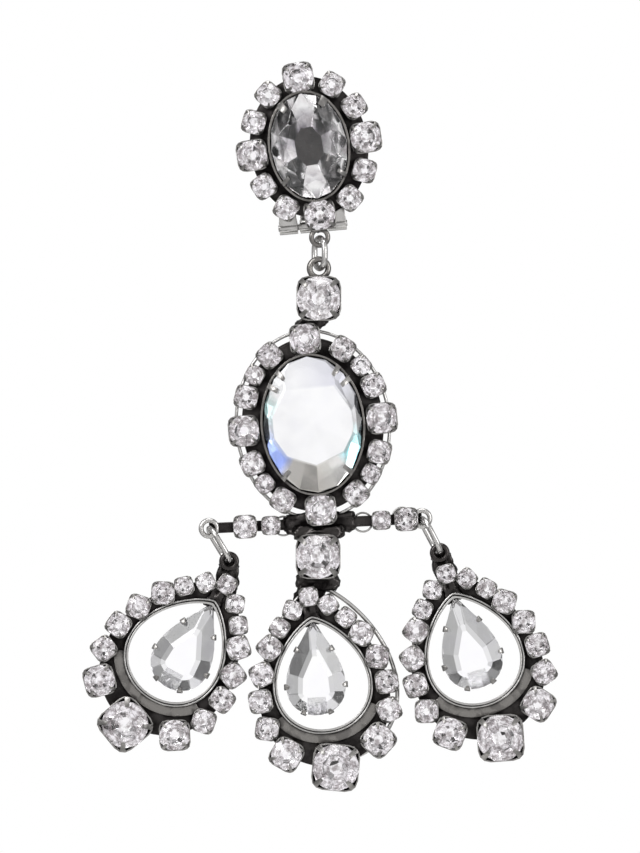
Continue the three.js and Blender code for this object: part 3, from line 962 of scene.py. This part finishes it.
def jump_ring(name, long, wide, thick, turn):
    """An oval ring seen edge-on, turned by degrees and hung from its top at the bench's middle."""
    made = blank("torus", name, major_radius=wide, minor_radius=thick,
                 major_segments=48, minor_segments=16, rotation=(0, math.radians(90), 0))
    open_up(made, "VERT")
    for side in (1, -1):
        pick(made, "verts", lambda spot, v: spot.y * side > 1e-4)
        bpy.ops.transform.translate(value=(0, side * (long - wide), 0))
    bpy.ops.mesh.select_all(action="SELECT")
    bpy.ops.transform.rotate(value=-math.radians(turn), orient_axis="Y", center_override=(0, 0, 0))
    bpy.ops.transform.translate(value=(0, -long, 0))
    close_up()
    facing_out(made)
    bpy.ops.object.shade_smooth()
    return surfaced(made, WIRE_SILVER)


EYELET = loop("eyelet", 1.05, 0.33)
DARK_EYELET = loop("dark_eyelet", 0.95, 0.38, PLATE_SILVER)
DARK_LOOP = loop("dark_loop", 1.22, 0.4, FOOT_SILVER)
LINK = jump_ring("link", 2.0, 1.6, 0.4, 25)
SIDE_RING = jump_ring("side_ring", 2.55, 1.8, 0.36, 10)


def lean_of(joint_name):
    axis = JOINTS[joint_name]["axis"]
    return math.degrees(math.atan2(axis[2], axis[0]))


rings = {"link_ring": set_down(LINK, "link_ring_wire", hung(joint_at("link_swing")))}
for side in ("left", "right"):
    swing = f"{side}_ring_swing"
    ring_place = hung(joint_at(swing), lean_of(swing))
    rings[f"{side}_ring"] = set_down(SIDE_RING, f"{side}_ring_wire", ring_place)
print("rings:", sorted(rings))

# %% [markdown]
# ## Solder
#
# Where the parts were joined by hand the solder lies in soft dark lumps. A lump is a block cast
# halfway to a ball, drawn out between two points and roughened, so that no two sides are alike.

# %% Solder lumps
ROUNDED_BY, LUMP_SIZE, LUMP_HEIGHT = 0.45, 0.7, 0.95
lumps = bpy.data.textures.new("solder_lumps", "CLOUDS")
lumps.noise_scale = LUMP_SIZE


def solder(work, start, end, wide, rise, thick):
    """A flattened lump between two points of the hanging plane."""
    length = math.hypot(end[0] - start[0], end[1] - start[1])
    lump = blank("cube", "solder", size=2)
    open_up(lump, selected="SELECT")
    bpy.ops.mesh.subdivide(number_cuts=11)
    close_up()
    finish_with(lump, "CAST", "rounded", factor=ROUNDED_BY)
    open_up(lump, selected="SELECT")
    draw_in((length + wide) / 2, wide / 2, thick / 2)
    close_up()
    finish_with(lump, "DISPLACE", "lumps", texture=lumps, strength=LUMP_HEIGHT, mid_level=0.5)
    bpy.ops.object.shade_smooth()
    surfaced(lump, PLATE_SILVER)
    turn = math.degrees(math.atan2(end[1] - start[1], end[0] - start[0]))
    place = Place((start[0] + end[0]) / 2, (start[1] + end[1]) / 2, HANG + rise, turn)
    add(work, lump, "solder", place)


def straight_bar(work, start, end, wide, back, front):
    """A flat bar with soft edges between two points of the hanging plane."""
    length = math.hypot(end.x - start.x, end.y - start.y)
    bar = blank("cube", "bar", size=1, location=(0, 0, (back + front) / 2),
                scale=(length, wide, front - back))
    open_up(bar)
    pick(bar, "faces", looks_up)
    step_in(0.22, -0.12)
    place = Place((start.x + end.x) / 2, (start.y + end.y) / 2, HANG, heading(start, end))
    add(work, done(bar, 0.1, PLATE_SILVER), "bar", place)
    return place


print("solder and bars are ready")

# %% [markdown]
# ## The upper and lower square cups and the crossbar
#
# The pendant hangs by a loop on a square cup. The crossbar under the medallion ends in two
# eyelets and carries four stones. The lower cup joins it to the middle drop.

# %% Square cups and crossbar
BAR_WIDE, BAR_BACK, BAR_FRONT = 1.4, -1.6, -0.7
for name in ("upper", "lower"):
    spot = centre_of(f"{name}_connector_stone")
    set_round(pendant_work, "large", hung(spot), f"{name}_connector_crystal")
top_loop = on(hung(joint_at("pendant_swing")), -0.1, 0)
add(pendant_work, DARK_LOOP, "loop", top_loop)
bar_ends = [joint_at(f"{side}_ring_swing") for side in ("left", "right")]
bar_line = straight_bar(pendant_work, *bar_ends, BAR_WIDE, BAR_BACK, BAR_FRONT)
for end in bar_ends:
    add(pendant_work, EYELET, "eyelet", hung(end))
for along, kind in BAR_STONES:
    set_round(pendant_work, kind, on(bar_line, along, 0))
BINDING_RINGS, BINDING_BEHIND = ((12.3, -48.9), (7.1, -49.6), (-3.4, -50.1)), 1.1
BINDING = loop("binding_ring", 1.25, 0.13)
for x, y in BINDING_RINGS:
    add(pendant_work, BINDING, "binding_ring", Place(x, y, HANG - BINDING_BEHIND, 0))
print("the crossbar is", round((bar_ends[1] - bar_ends[0]).length, 1), "mm between its eyelets")

# %% Solder on the pendant
lower = centre_of("lower_connector_stone")
upper = centre_of("upper_connector_stone")
foot = centre_of("medallion_stone_bottom")
crown = centre_of("medallion_stone_top")
apex = DROPS["centre"]
solder(pendant_work, (foot.x - 3.4, foot.y - 1.9), (foot.x + 3.2, foot.y - 1.6), 2.6, -1.4, 1.5)
solder(pendant_work, (lower.x - 2.2, lower.y + 3.1), (lower.x + 2.3, lower.y + 3.2), 1.7, -0.5, 2.0)
solder(pendant_work, (lower.x - 1.7, lower.y - 3.3), (lower.x + 1.5, lower.y - 3.5), 2.0, -1.5, 1.5)
solder(pendant_work, (lower.x - 0.3, lower.y - 3.4), (apex.x, apex.y + 0.2), 3.2, -1.6, 1.5)
solder(pendant_work, (upper.x - 0.2, upper.y - 2.8), (crown.x, crown.y + 1.6), 2.2, -1.4, 1.4)
print("five lumps of solder")

# %% [markdown]
# ## The pear frames
#
# A pear frame is a dark flat web in the shape of a teardrop with a teardrop opening. Its inner
# edge has a bright double rim, and stones stand all round it. The flat strips start as a grid
# of one row, whose two long sides are laid along two teardrops; Solidify gives them their wall.

# %% Teardrop strips
def ribbon(name, side_a, side_b, steps, top, thick, metal, span=(0, 360)):
    """A flat strip between two teardrops, from one angle to another along them."""
    strip = blank("grid", name, x_subdivisions=steps, y_subdivisions=1, size=2)
    open_up(strip)
    shape = bmesh.from_edit_mesh(strip.data)
    for vert in shape.verts:
        angle = span[0] + (span[1] - span[0]) * (vert.co.x + 1) / 2
        x, y = on_teardrop(side_a if vert.co.y < 0 else side_b, angle)
        vert.co = (x, y, top)
    bmesh.update_edit_mesh(strip.data)
    bpy.ops.mesh.select_all(action="SELECT")
    bpy.ops.mesh.remove_doubles(threshold=1e-4)
    bpy.ops.mesh.normals_make_consistent(inside=False)
    close_up()
    if strip.data.polygons[0].normal.z < 0:
        strip.data.flip_normals()
    finish_with(strip, "SOLIDIFY", "wall", thickness=thick, offset=-1)
    soften(strip, 0.05)
    return surfaced(strip, metal)


def widened(shape, by):
    """A teardrop that stands off another one by a distance, all round."""
    return shape._replace(tip=shape.tip - 1.35 * by, length=shape.length + 2.35 * by,
                          width=shape.width + 1.2 * by)


WEB_EDGE = Teardrop(-0.2, 22.8, 10.05)
RIM_EDGE = widened(OPENING, 0.24)
PEAR_WEB = ribbon("pear_web", OPENING, WEB_EDGE, 96, -0.65, 0.6, PLATE_SILVER)
PEAR_RIM = ribbon("pear_rim", OPENING, RIM_EDGE, 96, 0.25, 1.45, WIRE_SILVER)
FOOT_BAND = ribbon("foot_band", widened(OPENING, 0.5), widened(OPENING, 1.8), 48, -0.2, 0.5,
                   FOOT_SILVER, (126, 234))
RIM_WIRE = wire("rim_wire", teardrop_points(widened(OPENING, 0.46), 0.02), 0.15)
BACK_WIRE = wire("back_wire", teardrop_points(widened(STONE_LINE, 0.3), -1.2), 0.28)
print("strips and wires for one pear frame")

# %% [markdown]
# ## The pear crystals
#
# Each drop holds a clear pear crystal without foil, in an open setting of one wire and six
# claws. The crystal is ground from a block: upright flats give the pear outline, sloping ones
# the bevel round its table, steeper at the sides and long at the tip.

# %% Pear crystal
PEAR_MIDDLE = -CRYSTAL.tip - 0.6 * CRYSTAL.length


def reach(bearing):
    """How far the pear outline reaches from its middle towards a bearing."""
    angle = math.radians(bearing)
    spots = [on_teardrop(CRYSTAL, step * 3) for step in range(120)]
    return max(x * math.cos(angle) + (y - PEAR_MIDDLE) * math.sin(angle) for x, y in spots)


BEVELS = ((-90, 29), (-58, 33), (-28, 34), (4, 31), (26, 30), (50, 29), (90, 16))
BEVEL_HEIGHT, UNDER_BEVEL_HEIGHT, UNDER_BEVEL_SHARE = 0.18, -0.12, 0.7
BREAKS, BREAK_SLOPE, BREAK_HEIGHT = (-74, -43, -12, 15, 38), 46, 0.16
UNDER_BREAK_SLOPE, UNDER_BREAK_HEIGHT = 140, -0.1
PEAR_TABLE, PEAR_BACK = 1.5, -0.9
pear = blank("cube", "pear_crystal", size=1, scale=(20, 20, 6))
open_up(pear)
for bearing in range(-90, 270, 12):
    facet(90, bearing, reach(bearing), 0)
facet(0, 0, 0, PEAR_TABLE)
facet(180, 0, 0, PEAR_BACK)
for bearing, lean in BEVELS:
    for mirrored in sorted({bearing, 180 - bearing}):
        facet(lean, mirrored, reach(mirrored), BEVEL_HEIGHT)
        facet(180 - UNDER_BEVEL_SHARE * lean, mirrored, reach(mirrored), UNDER_BEVEL_HEIGHT)
for bearing in BREAKS:
    for mirrored in (bearing, 180 - bearing):
        facet(BREAK_SLOPE, mirrored, reach(mirrored), BREAK_HEIGHT)
        facet(UNDER_BREAK_SLOPE, mirrored, reach(mirrored), UNDER_BREAK_HEIGHT)
bpy.ops.mesh.select_all(action="SELECT")
bpy.ops.transform.translate(value=(0, PEAR_MIDDLE, 0))
close_up()
facing_out(pear)
surfaced(pear, OPEN_GLASS)
print("facets on the pear crystal:", len(pear.data.polygons))

# %% The open setting
def prong(name):
    """A claw that stands beside a stone's edge at the middle and folds over towards -x."""
    made = blank("cube", name, size=1, location=(0.12, 0, -0.45), scale=(0.36, 0.8, 1.5))
    open_up(made)
    pick(made, "faces", looks_up)
    push((-0.08, 0, 0.32))
    draw_in(0.95, 0.85, 1, (0.2, 0, 0.6))
    push((-0.45, 0, 0.30))
    draw_in(0.75, 0.6, 1, (-0.2, 0, 0.9))
    return done(made, 0.09, CUP_SILVER, 3)


PRONG = prong("prong")
GALLERY_LINE, GALLERY_HEIGHT = CRYSTAL._replace(tip=3.8, length=11.4, width=4.9), -1.1
GALLERY = wire("gallery", teardrop_points(GALLERY_LINE, GALLERY_HEIGHT), 0.28)
PRONG_ANGLES = (66, 112, 160, 200, 248, 294)


def open_setting(work, place):
    add(work, GALLERY, "gallery", place)
    for degrees in PRONG_ANGLES:
        x, y = on_teardrop(CRYSTAL, degrees)
        before, after = on_teardrop(CRYSTAL, degrees - 2), on_teardrop(CRYSTAL, degrees + 2)
        along = math.degrees(math.atan2(after[1] - before[1], after[0] - before[0]))
        add(work, PRONG, "prong", on(place, x, y, 0, along + 90))


print("each pear crystal is held by", len(PRONG_ANGLES), "claws")

# %% [markdown]
# ## Three drops
#
# The three drops are alike, apart from their turn and the lean of their crystals. The middle one
# is soldered under the lower square cup; the side ones hang by an eyelet from their jump ring.

# %% The drops
SETTING_TURN_SHARE, EYELET_FOOT = 0.92, 1.1


def pear_drop(work, prefix):
    place = DROPS[prefix]
    for model in (PEAR_WEB, PEAR_RIM, FOOT_BAND, RIM_WIRE):
        add(work, model, model.name, place)
    for degrees, kind in PEAR_STONES:
        sides = (1,) if degrees in (0, 180) else (-1, 1)
        for side in sides:
            x, y = on_teardrop(STONE_LINE, side * degrees)
            label = {"medium": "a" if side < 0 else "b", "drop": "big"}.get(kind)
            name = f"{prefix}_drop_crystal_{label}" if label else None
            set_round(work, kind, on(place, x, y, 0, side * degrees * SETTING_TURN_SHARE), name)
    crystal_place = on(on(place, 0, -CRYSTAL.tip, 0, CRYSTAL_TURNS[prefix]), 0, CRYSTAL.tip)
    open_setting(work, crystal_place)
    work["named"].append(set_down(pear, f"{prefix}_pear_crystal", crystal_place))
    inner, outer = on(place, 0, -1.8), on(place, 0, -2.7)
    solder(work, inner[:2], outer[:2], 2.1, -1.0, 1.3)
    return work


pear_drop(pendant_work, "centre")
add(pendant_work, BACK_WIRE, "back_wire", on(DROPS["centre"], 0.9, 1.0))
side_works = {}
for side in ("left", "right"):
    work = side_works[side] = pear_drop(new_work(), side)
    hook, top = joint_at(f"{side}_drop_swing"), DROPS[side]
    add(work, DARK_EYELET, "eyelet", hung(hook))
    under = hook + (Vector((top.x, top.y, HANG)) - hook).normalized() * EYELET_FOOT
    solder(work, (under.x, under.y), (top.x, top.y), 2.5, -1.5, 1.5)
print("three drops with", len(PEAR_STONES) * 2 - 2, "stones each and a pear crystal")

# %% [markdown]
# ## The spring clip
#
# Behind the cluster a lever with a round pad swings on a barrel hinge. The lever is one strip:
# its cross-section is pushed back from the barrel, spun up through a quarter turn and pushed up
# behind the lobe. The pad is a disc with a rolled edge.

# %% The hinge barrel
hinge = JOINTS["clip_hinge"]
hinge_spot = joint_at("clip_hinge")
hinge_lean = math.degrees(math.atan2(-hinge["axis"][2], -hinge["axis"][0]))
BARREL = Place(hinge_spot.x, hinge_spot.y, hinge_spot.z, hinge_lean)
BARREL_HALF, BARREL_RADIUS, KNUCKLE = 4.45, 0.9, 2.45
PIN_RADIUS, PIN_PAST = 0.42, 0.12
TAB_LONG, TAB_DEEP, TAB_UP = 3.4, 1.9, 1.9


def barrel(name, start, end, radius):
    made = blank("cylinder", name, vertices=32, radius=radius, depth=end - start,
                 location=((start + end) / 2, 0, 0), rotation=(0, math.radians(90), 0))
    open_up(made)
    pick(made, "faces", lambda spot, f: abs(f.normal.x) > 0.9)
    bpy.ops.mesh.inset(thickness=0.3 * radius)
    return done(made, 0.08, WIRE_SILVER)


def knuckle_tab(start, end):
    """The flat tongue that holds a knuckle to the cluster's back plate."""
    across = (start + end) / 2
    made = blank("cube", "tab", size=1, location=(across, TAB_UP, TAB_DEEP / 2),
                 scale=(end - start, TAB_LONG, TAB_DEEP))
    open_up(made)
    pick(made, "faces", lambda spot, f: f.normal.y > 0.9)
    draw_in(0.8, 1.0, 1.0, (across, 0, TAB_DEEP))
    return done(made, 0.12, WIRE_SILVER)


for start, end in ((-BARREL_HALF, -BARREL_HALF + KNUCKLE), (BARREL_HALF - KNUCKLE, BARREL_HALF)):
    add(stud_work, barrel("knuckle", start, end, BARREL_RADIUS), "knuckle", BARREL)
    add(stud_work, knuckle_tab(start, end), "tab", BARREL)
pin = barrel("pin", -BARREL_HALF - PIN_PAST, BARREL_HALF + PIN_PAST, PIN_RADIUS)
add(stud_work, pin, "pin", BARREL)
print("the barrel is", 2 * BARREL_HALF, "mm long")

# %% The lever and its pad
LEVER_WIDE, LEVER_THICK, BEND, LEVER_BARREL = 3.4, 0.85, 1.7, 1.7
BEHIND_LOBE, LEVER_RISE = 2.95, 9.3
LEVER_BEHIND = BARREL.depth + BEHIND_LOBE
LEVER_ROOT = (0, -0.45, -0.4)
PAD_RADIUS, PAD_THICK, PAD_UP = 4.4, 0.9, 11.0
strip = blank("plane", "lever", size=1, location=LEVER_ROOT)
open_up(strip, selected="SELECT")
draw_in(LEVER_WIDE, LEVER_THICK, 1, LEVER_ROOT)
push((0, 0, -(LEVER_BEHIND - BEND + LEVER_ROOT[2])))
bend_at = (0, LEVER_ROOT[1] + BEND, -(LEVER_BEHIND - BEND))
bpy.ops.mesh.spin(steps=10, angle=math.radians(-90), center=bend_at, axis=(1, 0, 0))
push((0, LEVER_RISE, 0))
done(strip, 0.16, WIRE_SILVER, 3)
pad = blank("cylinder", "pad", vertices=64, radius=PAD_RADIUS, depth=PAD_THICK,
            location=(0, PAD_UP, -LEVER_BEHIND))
open_up(pad)
pick(pad, "faces", looks_up)
step_in(0.5, -0.18)
step_in(0.9, 0.1)
pick(pad, "faces", looks_down)
step_in(0.7, -0.05)
done(pad, 0.12, WIRE_SILVER, 3)
lever_barrel = barrel("lever_barrel", -LEVER_BARREL, LEVER_BARREL, BARREL_RADIUS)
straight = BARREL._replace(turn=0)
clip_lever = joined("clip_lever_strip", [
    set_down(lever_barrel, "lever_barrel", BARREL),
    set_down(strip, "lever", straight),
    set_down(pad, "pad", straight),
])
print("the lever is", round(max(clip_lever.dimensions) / MM, 1), "mm long")

# %% The stud's loop
link_hook = joint_at("link_swing")
STUD_LOOP = loop("stud_loop", 1.08, 0.33, FOOT_SILVER)
add(stud_work, STUD_LOOP, "loop", on(hung(link_hook), 0, 0.12))
under_cup = centre_of("stud_stone_bottom")
solder(stud_work, (under_cup.x, under_cup.y - 1.0), (link_hook.x, link_hook.y + 1.7), 1.4, -1.2, 1.0)
print("the loop under the cluster is in place")

# %% [markdown]
# ## Each piece to its body
#
# The metal of one body is one soldered piece, and so are its paved small stones. The stones
# that are pieces of their own in the frame each stand for their own solid.

# %% Assembly
def hand_over(obj, body, slot_name, *nodes):
    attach(obj, body)
    if nodes:
        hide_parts(*nodes)


WORKS = {
    "stud": (stud_work, "stud_frame"),
    "pendant": (pendant_work, "pendant_frame"),
    "left_drop": (side_works["left"], "left_drop_frame"),
    "right_drop": (side_works["right"], "right_drop_frame"),
}
for body, (work, metal_node) in WORKS.items():
    metal = joined(f"{body}_metalwork", work["metal"])
    hand_over(metal, body, "oxidised_silver", metal_node)
    paved = joined(f"{body}_small_stones", work["loose"])
    hand_over(paved, body, "clear_crystal")
    for stone in work["named"]:
        hand_over(stone, body, "clear_crystal", stone.name.replace("_crystal", "_stone"))
    print(body, "metal faces", len(metal.data.polygons), "paved faces", len(paved.data.polygons))
for body, ring in rings.items():
    hand_over(ring, body, "oxidised_silver", body)
hand_over(clip_lever, "clip_lever", "oxidised_silver", "clip_lever")
for model in BENCH:
    bpy.data.objects.remove(model)
BENCH.clear()
